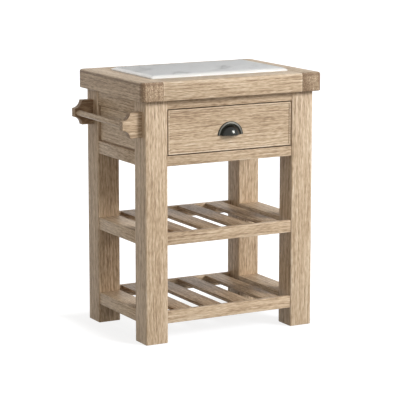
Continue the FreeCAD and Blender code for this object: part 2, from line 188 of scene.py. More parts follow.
class Graph:
    """Builds the nodes of one material or world."""

    edge_limits: Pair = (0.02, 0.2)
    mix_colours: tuple[int, int] = (6, 7)
    mix_result: int = 2

    def __init__(self, tree: bpy.types.NodeTree) -> None:
        """Start from an empty tree."""
        self.tree = tree
        tree.nodes.clear()

    def node(self, kind: str, settings: Optional[dict] = None, inputs: Optional[dict] = None,
             output: Union[int, str] = 0) -> Sock:
        """Add a node.

        Args:
            kind: Type of the node.
            settings: Attributes of the node, with a ramp's stops under "stops".
            inputs: Values or links by socket name or number.
            output: Name or number of the output that is returned.

        Returns:
            The chosen output, empty for a node that has none.
        """
        made = self.tree.nodes.new(kind)
        for key, value in (settings or {}).items():
            if key == "stops":
                self._set_stops(made.color_ramp, value)
            else:
                setattr(made, key, value)
        for key, value in (inputs or {}).items():
            if isinstance(value, Sock):
                self.tree.links.new(value.socket, made.inputs[key])
            else:
                made.inputs[key].default_value = value
        return Sock(self, made.outputs[output] if len(made.outputs) else None)

    @staticmethod
    def _set_stops(ramp: bpy.types.ColorRamp, stops: list[tuple[float, Colour]]) -> None:
        """Give a colour ramp its stops.

        Args:
            ramp: The ramp.
            stops: Places from 0 to 1 with their colours.
        """
        while len(ramp.elements) < len(stops):
            ramp.elements.new(1.0)
        for element, (place, colour) in zip(ramp.elements, stops):
            element.position = place
            element.color = (*colour, 1.0)

    def place(self) -> Sock:
        """Coordinates of the surface in metres."""
        return self.node("ShaderNodeTexCoord", output="Object")

    def vector(self, operation: str, first: Union[Sock, Triple], second: Union[Sock, Triple] = ZERO,
               output: str = "Vector") -> Sock:
        """Add one Vector Math node."""
        return self.node("ShaderNodeVectorMath", {"operation": operation}, {0: first, 1: second}, output)

    def noise(self, place: Sock, pattern: Pattern, output: str = "Fac") -> Sock:
        """Noise over a place that is stretched first.

        Args:
            place: Coordinates in metres.
            pattern: Its stretch and fineness.
            output: "Fac" for a value, "Color" for three.

        Returns:
            The noise, about 0.5 on average.
        """
        spread = self.vector("MULTIPLY", place, pattern.stretch)
        inputs = {"Vector": spread, "Scale": 1.0, "Detail": pattern.detail, "Roughness": pattern.rough}
        return self.node("ShaderNodeTexNoise", {}, inputs, output)

    def step(self, value: Sock, limits: Pair) -> Sock:
        """Smooth step from 0 at the first limit to 1 at the second."""
        inputs = {"Value": value, "From Min": limits[0], "From Max": limits[1]}
        return self.node("ShaderNodeMapRange", {"interpolation_type": "SMOOTHSTEP"}, inputs)

    def mask(self, place: Sock, pattern: Pattern) -> Sock:
        """Noise that is cut to a mask."""
        return self.step(self.noise(place, pattern), pattern.limits)

    def bend(self, place: Sock, pattern: Pattern, reach: Triple) -> Sock:
        """Push a place about by noise.

        Args:
            place: Coordinates in metres.
            pattern: The noise.
            reach: How far it pushes along each axis.

        Returns:
            The new place.
        """
        means = (NOISE_MEAN, NOISE_MEAN, NOISE_MEAN)
        sway = self.vector("SUBTRACT", self.noise(place, pattern, "Color"), means)
        return self.vector("ADD", place, self.vector("MULTIPLY", sway, reach))

    def mix(self, factor: Value, first: Union[Sock, Colour], second: Union[Sock, Colour]) -> Sock:
        """Mix two colours.

        Args:
            factor: Share of the second colour.
            first: First colour.
            second: Second colour.

        Returns:
            The mixed colour.
        """
        inputs = {0: factor}
        for socket, colour in zip(self.mix_colours, (first, second)):
            inputs[socket] = colour if isinstance(colour, Sock) else (*colour, 1.0)
        return self.node("ShaderNodeMix", {"data_type": "RGBA"}, inputs, self.mix_result)

    def towards(self, way: Triple) -> Sock:
        """How squarely the surface looks in a direction."""
        normal = self.node("ShaderNodeNewGeometry", output="Normal")
        return self.vector("DOT_PRODUCT", normal, way, "Value")

    def facing(self, axis: Triple) -> Sock:
        """How squarely the surface faces an axis, whichever way round."""
        return abs(self.towards(axis))

    def edge(self) -> Sock:
        """Mask of rounded or chamfered edges on a piece whose faces are square to the axes."""
        flat = self.facing(RIGHT).highest(self.facing(BACK)).highest(self.facing(UP))
        return self.step(1.0 - flat, self.edge_limits)

    def beyond(self, spot: Sock, half: Triple, middle_z: float = 0.0) -> Sock:
        """How far a place lies outside a rectangle, below 0 inside it.

        Args:
            spot: The place.
            half: Half the rectangle's size, large along the axis that is left out.
            middle_z: Height of its middle.

        Returns:
            The distance in metres.
        """
        centred = self.vector("ABSOLUTE", self.vector("SUBTRACT", spot, (0.0, 0.0, middle_z)))
        over = self.vector("SUBTRACT", centred, half)
        out_x, out_y, out_z = (self.node("ShaderNodeSeparateXYZ", {}, {"Vector": over}, axis)
                               for axis in "XYZ")
        return out_x.highest(out_y).highest(out_z)

    def bump(self, strength: float, distance: float, height: Sock) -> Sock:
        """Relief of a surface, for its Normal socket."""
        inputs = {"Strength": strength, "Distance": distance, "Height": height}
        return self.node("ShaderNodeBump", {}, inputs)

    def surface(self, inputs: dict) -> None:
        """Finish a material with one Principled shader."""
        shader = self.node("ShaderNodeBsdfPrincipled", {}, inputs)
        self.node("ShaderNodeOutputMaterial", {}, {"Surface": shader})


def new_finish(name: str) -> tuple[bpy.types.Material, Graph]:
    """Add a material with an empty graph.

    Args:
        name: Name of the material.

    Returns:
        The material and its graph.
    """
    made = bpy.data.materials.new(name)
    made.use_nodes = True
    return made, Graph(made.node_tree)


def seed_of(name: str) -> random.Random:
    """Steady random source for a piece, from its name."""
    return random.Random(zlib.crc32(name.encode()))


def around(middle: float, half: float) -> Pair:
    """Limits of a step that is half done at its middle."""
    return middle - half, middle + half


@dataclass(frozen=True)
class Marks:
    """What sets one board apart from the others of its timber.

    The tones are added to the board's level: to all of it, to the faces that look in the listed directions,
    and to its ends past tip_start. The tone on those faces is painted light: painted shade on faces in
    gaps, corners and inner sides, and a painted sheen on tops. quirk and sunk are half sizes of a field
    with a bead or a frame round it, middle_z is that field's height, and arris_band_from is the height
    where a darker band below the upper edge starts. Round the quirk field a painted highlight on the bead
    and painted shade in the quirk are added, round the sunk field painted shade.
    """

    tone: float = 0.0
    painted_light_faces: tuple[Triple, ...] = ()
    painted_light_tone: float = 0.0
    tip_start: float = 0.0
    tip_tone: float = 0.0
    quirk: Optional[Triple] = None
    sunk: Optional[Triple] = None
    arris_band_from: float = 0.0
    middle_z: float = 0.0


@dataclass(frozen=True)
class LimedOak:
    """Pale oak with fine dark pores, limed flecks and a matt washed finish.

    A weight says how far a pattern moves the level that the colours are read from, a depth how
    far it darkens that level, and limits say where a mask starts and is full.
    """

    dark: Colour = (0.23, 0.145, 0.085)
    body: Colour = (0.512, 0.376, 0.246)
    pale: Colour = (0.685, 0.543, 0.390)
    lime: Colour = (0.81, 0.705, 0.57)
    body_level: float = 0.42
    pale_level: float = 0.72
    middle: float = 0.47
    spread: float = 0.06
    timber_reach: float = 4.0

    sway: Pattern = Pattern((1.1, 6.0, 6.0), 1.0)
    sway_reach: Triple = (0.0, 0.03, 0.03)
    heart_sway: float = 0.02
    heart_below: float = 0.05
    heart_stretch: Triple = (0.05, 1.0, 1.0)
    ring_width: float = 0.011
    ring_wander: float = 7.0
    ring_limits: Pair = (-0.3, 1.0)
    broad: Pattern = Pattern((1.6, 13.0, 13.0))
    streaks: Pattern = Pattern((6.5, 240.0, 240.0), 3.0, 0.6)
    flecks: Pattern = Pattern((44.0, 330.0, 330.0), 2.0, 0.55)
    rays: Pattern = Pattern((60.0, 700.0, 300.0), 3.0, 0.65)
    plies: Pattern = Pattern((8.0, 150.0, 9.0), 2.0, 0.6)
    limed: Pattern = Pattern((19.0, 480.0, 480.0), 1.0, limits=(0.55, 0.72))
    pores: Pattern = Pattern((34.0, 1150.0, 1150.0), 1.0, limits=(0.54, 0.70))
    pore_least: float = 0.45
    end_limits: Pair = (0.15, 0.7)
    square_limits: Pair = (0.93, 0.995)

    broad_weight: float = 0.38
    edge_wear_and_highlight_weight: float = 0.11
    streak_weight: float = 1.05
    fleck_weight: float = 1.15
    lime_weight: float = 0.22
    ring_depth: float = 0.10
    pore_depth: float = 0.20
    ray_weight: float = 3.8
    ply_weight: float = 1.4
    end_ring_depth: float = 0.06
    end_depth: float = 0.20
    turned_depth: float = 0.34

    painted_light_limits: Pair = (0.45, 0.9)
    tip_blur: float = 0.002
    bead_highlight_weight: float = 0.16
    bead_limits: Pair = (0.0, 0.001)
    quirk_shade_depth: float = 0.24
    quirk_start: Pair = (-0.0025, -0.0002)
    quirk_end: Pair = (0.0, 0.0012)
    front_limits: Pair = (0.5, 0.8)
    sunk_shade_depth: float = 0.60
    sunk_shade_limits: Pair = (-0.0065, -0.003)
    arris_band_width: float = 0.006
    arris_band_depth: float = 0.32
    arris_band_limits: Pair = (0.3, 0.75)

    rough: float = 0.47
    pore_rough: float = 0.16
    edge_polish: float = 0.06
    end_rough: float = 0.1
    gloss: float = 0.38
    relief: float = 0.35
    relief_depth: float = 0.0005
    streak_relief: float = 0.4

    def bead_highlight_and_quirk_shade(self, g: Graph, out: Sock) -> Sock:
        """Painted highlight on the bead round a sunk field on the front, with painted shade in the quirk
        where they meet.

        Args:
            g: Graph of the board's material.
            out: Distance outside the field.

        Returns:
            What is added to the board's level.
        """
        line = g.step(out, self.quirk_start) * (1.0 - g.step(out, self.quirk_end))
        tone = g.step(out, self.bead_limits) * self.bead_highlight_weight - line * self.quirk_shade_depth
        return tone * g.step(g.towards(FRONT), self.front_limits)

    def marked(self, g: Graph, level: Sock, spot: Sock, end: Sock, grain: Grain, marks: Marks) -> Sock:
        """Add to a board's level what sets it apart.

        Args:
            g: Graph of the board's material.
            level: Level of the plain timber.
            spot: Place on the board.
            end: Mask of its end grain.
            grain: Direction of its grain.
            marks: What sets it apart.

        Returns:
            The new level.
        """
        # Painted light: faces that look in the listed directions get a tone, painted shade in gaps, corners
        # and inner sides, a painted sheen on tops.
        for way in marks.painted_light_faces:
            level = level + g.step(g.towards(way), self.painted_light_limits) * marks.painted_light_tone
        if marks.tip_tone:
            along = abs(g.vector("DOT_PRODUCT", spot, grain.along, "Value"))
            tip = g.step(along, around(marks.tip_start, self.tip_blur))
            level = level + tip * (1.0 - end) * marks.tip_tone
        # Painted highlight on the bead and painted shade in its quirk.
        if marks.quirk:
            level = level + self.bead_highlight_and_quirk_shade(g, g.beyond(spot, marks.quirk, marks.middle_z))
        # Painted shade: a dark line round the sunk field, where the panel meets the recess of its frame.
        if marks.sunk:
            out = g.beyond(spot, marks.sunk, marks.middle_z)
            level = level - g.step(out, self.sunk_shade_limits) * self.sunk_shade_depth
        # A darker band just below the upper edge of the faces that don't look up.
        if marks.arris_band_from:
            height = g.vector("DOT_PRODUCT", spot, UP, "Value")
            arris_band = g.step(height, (marks.arris_band_from, marks.arris_band_from + self.arris_band_width))
            level = level - arris_band * (1.0 - g.step(g.towards(UP), self.arris_band_limits)) * self.arris_band_depth
        return level

    def material(self, name: str, grain: Grain, marks: Marks = Marks()) -> bpy.types.Material:
        """Make the finish for one board.

        Args:
            name: Name of the board, which also sets where in the timber it is cut from.
            grain: Direction of its grain.
            marks: What sets the board apart.

        Returns:
            The material.
        """
        chance = seed_of(name)
        shift = tuple(chance.uniform(-self.timber_reach, self.timber_reach) for _ in range(3))
        aside = chance.uniform(-self.heart_sway, self.heart_sway)
        tone = self.middle + marks.tone + chance.uniform(-self.spread, self.spread)

        made, g = new_finish("oak_" + name)
        spot = g.place()
        laid = g.node("ShaderNodeMapping", {}, {"Vector": spot, "Location": shift, "Rotation": grain.value})
        bent = g.bend(laid, self.sway, self.sway_reach)
        heart = (0.0, aside - shift[1], self.heart_below - shift[2])
        from_heart = g.vector("MULTIPLY", g.vector("ADD", bent, heart), self.heart_stretch)
        reach = g.vector("LENGTH", from_heart, output="Value")
        broad = g.noise(bent, self.broad)
        turns = reach * (2.0 * math.pi / self.ring_width) + broad * self.ring_wander
        ring = g.step(turns.wave(), self.ring_limits)
        streak = g.noise(bent, self.streaks)
        fleck = g.noise(bent, self.flecks)
        ray = g.noise(laid, self.rays)
        ply = g.noise(laid, self.plies)
        lime = g.mask(bent, self.limed)
        pore = g.mask(bent, self.pores) * (self.pore_least + ring * (1.0 - self.pore_least))
        end = g.step(g.facing(grain.along), self.end_limits)
        turned = end * (1.0 - g.step(g.facing(grain.along), self.square_limits))
        edge = g.edge()

        long_grain = ((streak - NOISE_MEAN) * self.streak_weight + (fleck - NOISE_MEAN) * self.fleck_weight
                      - ring * self.ring_depth + lime * self.lime_weight - pore * self.pore_depth)
        cross_cut = ((ray - NOISE_MEAN) * self.ray_weight + (ply - NOISE_MEAN) * self.ply_weight
                     - ring * self.end_ring_depth - self.end_depth - turned * self.turned_depth)
        # Edges are lighter: limed wear together with a painted highlight.
        level = (tone + (broad - NOISE_MEAN) * self.broad_weight + edge * self.edge_wear_and_highlight_weight
                 + long_grain * (1.0 - end) + cross_cut * end)
        level = self.marked(g, level, spot, end, grain, marks)
        stops = [(0.0, self.dark), (self.body_level, self.body),
                 (self.pale_level, self.pale), (1.0, self.lime)]
        colour = g.node("ShaderNodeValToRGB", {"stops": stops}, {"Fac": level}, "Color")
        rough = self.rough + pore * self.pore_rough - edge * self.edge_polish + end * self.end_rough
        bump = g.bump(self.relief, self.relief_depth, streak * self.streak_relief - pore)
        g.surface({"Base Color": colour, "Roughness": rough, "Normal": bump,
                   "Specular IOR Level": self.gloss})
        return made


@dataclass(frozen=True)
class Marble:
    """Honed grey-white marble with faint slanting veins and pale ground edges."""

    white: Colour = (0.63, 0.645, 0.66)
    cloud: Colour = (0.565, 0.583, 0.605)
    vein: Colour = (0.40, 0.41, 0.425)
    ground: Colour = (0.90, 0.895, 0.88)
    slant: Triple = (0.0, 0.0, -0.98)
    warp: Pattern = Pattern((6.0, 6.0, 6.0), 5.0, 0.6)
    warp_reach: Triple = (0.12, 0.12, 0.12)
    clouds: Pattern = Pattern((2.4, 7.0, 5.0), 4.0, limits=(0.34, 0.68))
    ridges: Pattern = Pattern((2.2, 8.5, 4.0), 2.0, 0.45)
    threads: Pattern = Pattern((5.0, 17.0, 9.0))
    patches: Pattern = Pattern((5.0, 5.0, 5.0), 1.0, limits=(0.36, 0.60))
    line_width: float = 0.016
    line_weight: float = 0.5
    halo_width: float = 0.085
    halo_weight: float = 0.42
    thread_width: float = 0.014
    thread_weight: float = 0.25
    flat_limits: Pair = (0.92, 0.985)
    ground_share: float = 0.92
    rough: float = 0.42
    cloud_rough: float = 0.06
    vein_rough: float = 0.05
    ground_polish: float = 0.25
    grit: Pattern = Pattern((900.0, 900.0, 900.0), 1.0)
    grit_relief: float = 0.08
    grit_depth: float = 0.0003
    gloss: float = 0.32
    ground_rough: float = 0.06
    ground_index: float = 1.8
    glow: float = 0.8
    glow_radius: Triple = (1.0, 1.0, 1.0)
    glow_depth: float = 0.012

    def material(self) -> bpy.types.Material:
        """Make the finish.

        Returns:
            The material.
        """
        made, g = new_finish("honed_marble")
        spot = g.place()
        turned = g.node("ShaderNodeMapping", {}, {"Vector": spot, "Rotation": self.slant})
        bent = g.bend(turned, self.warp, self.warp_reach)
        cloud = g.mask(bent, self.clouds)
        patch = g.mask(turned, self.patches)
        ridge = abs(g.noise(bent, self.ridges) - NOISE_MEAN)
        thread = abs(g.noise(bent, self.threads) - NOISE_MEAN)
        line = 1.0 - g.step(ridge, (0.0, self.line_width))
        halo = 1.0 - g.step(ridge, (0.0, self.halo_width))
        fine = 1.0 - g.step(thread, (0.0, self.thread_width))
        vein = (line * self.line_weight + halo * self.halo_weight + fine * self.thread_weight) * patch
        side = 1.0 - g.step(g.facing(UP), self.flat_limits)
        stone = g.mix(vein, g.mix(cloud, self.cloud, self.white), self.vein)
        colour = g.mix(side * self.ground_share, stone, self.ground)
        rough = self.rough + cloud * self.cloud_rough + vein * self.vein_rough - side * self.ground_polish
        bump = g.bump(self.grit_relief, self.grit_depth, g.noise(spot, self.grit))
        g.surface({"Base Color": colour, "Roughness": rough, "Normal": bump, "Coat Weight": side,
                   "Coat Roughness": self.ground_rough, "Coat IOR": self.ground_index,
                   "Specular IOR Level": self.gloss, "Subsurface Weight": self.glow,
                   "Subsurface Radius": self.glow_radius, "Subsurface Scale": self.glow_depth})
        return made


@dataclass(frozen=True)
class Pewter:
    """Dark cast metal with a polished dome and a paler flange ring, rubbed metal with a painted reflection.
    """

    dark: Colour = (0.0175, 0.0175, 0.0140)
    flange_sheen_and_rub: Colour = (0.135, 0.130, 0.115)
    sheen_and_rub_least: float = 0.55
    sheen_and_rub_mottle: float = 0.6
    mottling: Pattern = Pattern((140.0, 140.0, 140.0), 4.0, 0.6)
    casting: Pattern = Pattern((1400.0, 1400.0, 1400.0))
    rough: float = 0.30
    mottle_rough: float = 0.2
    flange_rough: float = 0.15
    dome_polish: float = 0.09
    coat: float = 0.75
    coat_rough: float = 0.15
    relief: float = 0.12
    relief_depth: float = 0.0002
    flat: Triple = (1.0, 0.0, 1.0)
    flange_start: float = -0.0012
    flange_full: float = -0.0002
    rim_radius: float = 0.0472
    rim_blur: float = 0.0006
    foot_radius: float = 0.0418
    foot_blur: float = 0.0008
    dome_radius: float = 0.0325
    dome_blur: float = 0.004

    def material(self, axis_z: float, front: float) -> bpy.types.Material:
        """Make the finish.

        Args:
            axis_z: Height of the pull's axis.
            front: Place of the flange's front along Y.

        Returns:
            The material.
        """
        made, g = new_finish("dark_pewter")
        spot = g.place()
        mottle = g.noise(spot, self.mottling)
        cast = g.noise(spot, self.casting)
        depth = g.node("ShaderNodeSeparateXYZ", {}, {"Vector": spot}, "Y")
        centred = g.vector("MULTIPLY", g.vector("SUBTRACT", spot, (0.0, 0.0, axis_z)), self.flat)
        reach = g.vector("LENGTH", centred, output="Value")
        inside = 1.0 - g.step(reach, around(self.rim_radius, self.rim_blur))
        ring = inside * g.step(reach, around(self.foot_radius, self.foot_blur))
        flange = g.step(depth, (front + self.flange_start, front + self.flange_full)) * ring
        dome = 1.0 - g.step(reach, around(self.dome_radius, self.dome_blur))
        # The flange ring is paler, rubbed metal with a painted reflection; outside its rim and over the
        # dome the metal stays dark.
        colour = g.mix(flange * (self.sheen_and_rub_least + mottle * self.sheen_and_rub_mottle), self.dark, self.flange_sheen_and_rub)
        rough = (self.rough + (mottle - NOISE_MEAN) * self.mottle_rough + flange * self.flange_rough
                 - dome * self.dome_polish)
        bump = g.bump(self.relief, self.relief_depth, cast + mottle)
        g.surface({"Base Color": colour, "Roughness": rough, "Metallic": 1.0, "Normal": bump,
                   "Coat Weight": dome * self.coat, "Coat Roughness": self.coat_rough})
        return made


@dataclass(frozen=True)
class PlainSteel:
    """Bright zinc-toned steel of the screws."""

    colour: Colour = (0.52, 0.52, 0.53)
    bright: Colour = (0.62, 0.61, 0.58)
    brushing: Pattern = Pattern((900.0, 900.0, 900.0))
    rough: float = 0.28
    brush_rough: float = 0.2

    def material(self) -> bpy.types.Material:
        """Make the finish.

        Returns:
            The material.
        """
        made, g = new_finish("screw_steel")
        brush = g.noise(g.place(), self.brushing)
        tint = g.mix(brush, self.colour, self.bright)
        g.surface({"Base Color": tint, "Roughness": self.rough + brush * self.brush_rough, "Metallic": 1.0})
        return made


class Bench:
    """Hand-modelling steps that every piece goes through."""

    hard_angle: float = math.radians(35.0)
    smooth_angle: float = math.radians(40.0)

    @staticmethod
    def clear() -> None:
        """Deselect everything."""
        bpy.ops.object.select_all(action="DESELECT")

    @staticmethod
    def take(*pieces: bpy.types.Object) -> None:
        """Select only these pieces and make the first one active.

        Args:
            pieces: The pieces.
        """
        Bench.clear()
        for piece in pieces:
            piece.select_set(True)
        bpy.context.view_layer.objects.active = pieces[0]

    @staticmethod
    @contextmanager
    def editing() -> Iterator[None]:
        """Keep the active piece in edit mode for the length of a with block."""
        bpy.ops.object.mode_set(mode="EDIT")
        yield
        bpy.ops.object.mode_set(mode="OBJECT")

    @staticmethod
    def settle(name: str) -> bpy.types.Object:
        """Name the active object and put its place into its mesh.

        Args:
            name: Name of the piece.

        Returns:
            The piece.
        """
        piece = bpy.context.object
        piece.name = name
        piece.data.name = name
        bpy.ops.object.transform_apply(location=True, rotation=True, scale=True)
        return piece

    @staticmethod
    def block(name: str, low: Vector, high: Vector) -> bpy.types.Object:
        """Add a block between two corners.

        Args:
            name: Name of the piece.
            low: Lowest corner.
            high: Highest corner.

        Returns:
            The block, with its place in its mesh.
        """
        Bench.clear()
        bpy.ops.mesh.primitive_cube_add(size=1.0, location=(low + high) / 2.0)
        bpy.context.object.scale = high - low
        return Bench.settle(name)

    @staticmethod
    def rod(name: str, radius: float, length: float, middle: Triple, sides: int,
            tilt: float = 0.0) -> bpy.types.Object:
        """Add a cylinder.

        Args:
            name: Name of the piece.
            radius: Its radius.
            length: Its length.
            middle: Its middle.
            sides: Faces round it.
            tilt: Turn about X from upright.

        Returns:
            The cylinder, with its place in its mesh.
        """
        Bench.clear()
        bpy.ops.mesh.primitive_cylinder_add(vertices=sides, radius=radius, depth=length,
                                            location=middle, rotation=(tilt, 0.0, 0.0))
        return Bench.settle(name)

    @staticmethod
    def unpick(piece: bpy.types.Object, mode: Pick) -> bpy.types.Mesh:
        """Take a piece with nothing picked on it.

        Args:
            piece: The piece.
            mode: What is to be picked next.

        Returns:
            Its mesh.
        """
        Bench.take(piece)
        bpy.context.tool_settings.mesh_select_mode = mode.value
        mesh = piece.data
        for part in (mesh.vertices, mesh.edges, mesh.polygons):
            part.foreach_set("select", [False] * len(part))
        return mesh

    @staticmethod
    def pick_level(piece: bpy.types.Object, height: float) -> None:
        """Pick the faces whose middle is at a height."""
        for face in Bench.unpick(piece, Pick.FACES).polygons:
            face.select = same(face.center.z, height)

    @staticmethod
    def bevel(piece: bpy.types.Object, wanted: EdgeTest, shape: Round) -> None:
        """Round the edges that pass a test.

        Args:
            piece: The piece.
            wanted: Test on the two ends of an edge.
            shape: The rounding.
        """
        mesh = Bench.unpick(piece, Pick.EDGES)
        for edge in mesh.edges:
            start, end = (mesh.vertices[index].co for index in edge.vertices)
            edge.select = wanted(start, end)
        with Bench.editing():
            bpy.ops.mesh.bevel(offset=shape.radius, segments=shape.faces, affect="EDGES")

    @staticmethod
    def modify(piece: bpy.types.Object, kind: str, settings: dict) -> None:
        """Add a modifier and apply it.

        Args:
            piece: The piece.
            kind: Type of the modifier.
            settings: Attributes of the modifier.
        """
        Bench.take(piece)
        added = piece.modifiers.new(kind.lower(), kind)
        for key, value in settings.items():
            setattr(added, key, value)
        bpy.ops.object.modifier_apply(modifier=added.name)

    @staticmethod
    def soften(piece: bpy.types.Object, shape: Round) -> None:
        """Take the sharpness off every hard edge and shade the rest smooth."""
        Bench.modify(piece, "BEVEL", {"width": shape.radius, "segments": shape.faces,
                                      "limit_method": "ANGLE", "angle_limit": Bench.hard_angle})
        bpy.ops.object.shade_smooth_by_angle(angle=Bench.smooth_angle)

    @staticmethod
    def carve(piece: bpy.types.Object, cutter: bpy.types.Object) -> None:
        """Cut one piece with another, which is then removed."""
        Bench.modify(piece, "BOOLEAN", {"operation": "DIFFERENCE", "solver": "EXACT", "object": cutter})
        bpy.data.objects.remove(cutter)

    @staticmethod
    def fit(piece: bpy.types.Object, body: Body, slot: Slot, finish: bpy.types.Material,
            *nodes: str) -> None:
        """Dress a piece and let it stand for its solids.

        Args:
            piece: The finished mesh.
            body: Body that it rides on.
            slot: Slot of the record that its finish belongs to; not used.
            finish: Its material.
            nodes: Solids that it stands for.
        """
        piece.data.materials.clear()
        piece.data.materials.append(finish)
        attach(piece, body.value)
        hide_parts(*nodes)
        LOG.info("made %s for %s", piece.name, ", ".join(nodes))


def same(first: float, second: float) -> bool:
    """True where two places are the same to a hundredth of a millimetre."""
    return abs(first - second) < SAME_PLACE


def both(place: float, axis: int) -> EdgeTest:
    """Test for edges that lie at one place on an axis."""
    return lambda a, b: same(a[axis], place) and same(b[axis], place)


def rising(a: Vector, b: Vector) -> bool:
    """Test for edges whose ends are at different heights."""
    return not same(a.z, b.z)


@dataclass
class LegFrame:
    """Four square posts with rounded edges."""

    oak: LimedOak
    edge: Round = Round(0.005, 5)
    foot: Round = Round(0.0015)
    soft: Round = Round(0.0003)
    left_tone: float = 0.04
    right_tone: float = 0.12
    rear_tone: float = -0.04
    inner_shade_tone: float = -0.14

    def build(self) -> None:
        """Model and dress the posts."""
        front_tones = {"leg_front_left": self.left_tone, "leg_front_right": self.right_tone}
        for end in ("front", "rear"):
            for hand, inwards in (("left", RIGHT), ("right", LEFT)):
                node = "leg_" + end + "_" + hand
                low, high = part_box(node)
                post = Bench.block(node + "_post", low, high)
                Bench.bevel(post, rising, self.edge)
                Bench.bevel(post, both(low.z, 2), self.foot)
                Bench.soften(post, self.soft)
                # The inward face of each post gets painted shade.
                marks = Marks(front_tones.get(node, self.rear_tone), (inwards,), self.inner_shade_tone)
                Bench.fit(post, Body.CARCASS, Slot.OAK, self.oak.material(node, Grain.Z, marks), node)


@dataclass
class Boards:
    """Rails and slats: straight boards whose long edges are eased."""

    oak: LimedOak
    clear_x: float = 0.243
    clear_y: float = 0.143
    slat_reach: float = 0.208
    slats: int = 4
    ease: Round = Round(0.0015, 3)
    soft: Round = Round(0.0005)
    slat_shade_tone: float = -0.25
    front_tone: float = 0.05
    gap_shade_tone: float = -0.5

    def board(self, node: str, grain: Grain, reach: float, edges: Callable[[Vector, Vector], EdgeTest],
              marks: Marks = Marks()) -> None:
        """Model and dress one board between its shoulders.

        Args:
            node: Solid that it stands for.
            grain: Direction that it runs in.
            reach: Half its length between the shoulders.
            edges: Gives the test for the eased edges from the board's two corners.
            marks: What sets the board apart.
        """
        low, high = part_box(node)
        axis = 0 if grain is Grain.X else 1
        low[axis], high[axis] = -reach, reach
        piece = Bench.block(node + "_board", low, high)
        Bench.bevel(piece, edges(low, high), self.ease)
        Bench.soften(piece, self.soft)
        Bench.fit(piece, Body.CARCASS, Slot.OAK, self.oak.material(node, grain, marks), node)

    @staticmethod
    def outer(axis: int) -> Callable[[Vector, Vector], EdgeTest]:
        """Eased edges of a rail: both long edges of the face that looks outwards.

        Args:
            axis: Axis that the face is square to.

        Returns:
            Function that gives the test from a rail's two corners.
        """
        def edges(low: Vector, high: Vector) -> EdgeTest:
            """Pick the face further from the middle."""
            face = low[axis] if abs(low[axis]) > abs(high[axis]) else high[axis]
            return lambda a, b: both(face, axis)(a, b) and not rising(a, b)
        return edges

    @staticmethod
    def upper(low: Vector, high: Vector) -> EdgeTest:
        """Eased edges of a slat: both long edges of its top."""
        return lambda a, b: both(high.z, 2)(a, b) and same(a.x, b.x)

    def rail(self, node: str, grain: Grain, marks: Marks = Marks()) -> None:
        """Model and dress one rail between two legs."""
        reach, axis = (self.clear_x, 1) if grain is Grain.X else (self.clear_y, 0)
        self.board(node, grain, reach, self.outer(axis), marks)

    def build(self) -> None:
        """Model and dress every rail and slat."""
        # Painted shade on the front rails' faces that look into the drawer's gap.
        for level, way in (("top", DOWN), ("bottom", UP)):
            self.rail(f"front_{level}_rail", Grain.X, Marks(self.front_tone, (way,), self.gap_shade_tone))
        for level in ("top", "bottom"):
            self.rail(f"back_{level}_rail", Grain.X)
        for hand in ("left", "right"):
            for level in ("top", "bottom"):
                self.rail(f"side_{level}_rail_{hand}", Grain.Y)
        for shelf in ("lower_shelf", "upper_shelf"):
            for end in ("front", "back"):
                self.rail(f"{shelf}_{end}_rail", Grain.X, Marks(self.front_tone))
            for hand in ("left", "right"):
                self.rail(f"{shelf}_side_rail_{hand}", Grain.Y)
            for index in range(1, self.slats + 1):
                slat = f"{shelf}_slat_{index}"
                # The slats get painted shade.
                self.board(slat, Grain.Y, self.slat_reach, self.upper, Marks(self.slat_shade_tone))


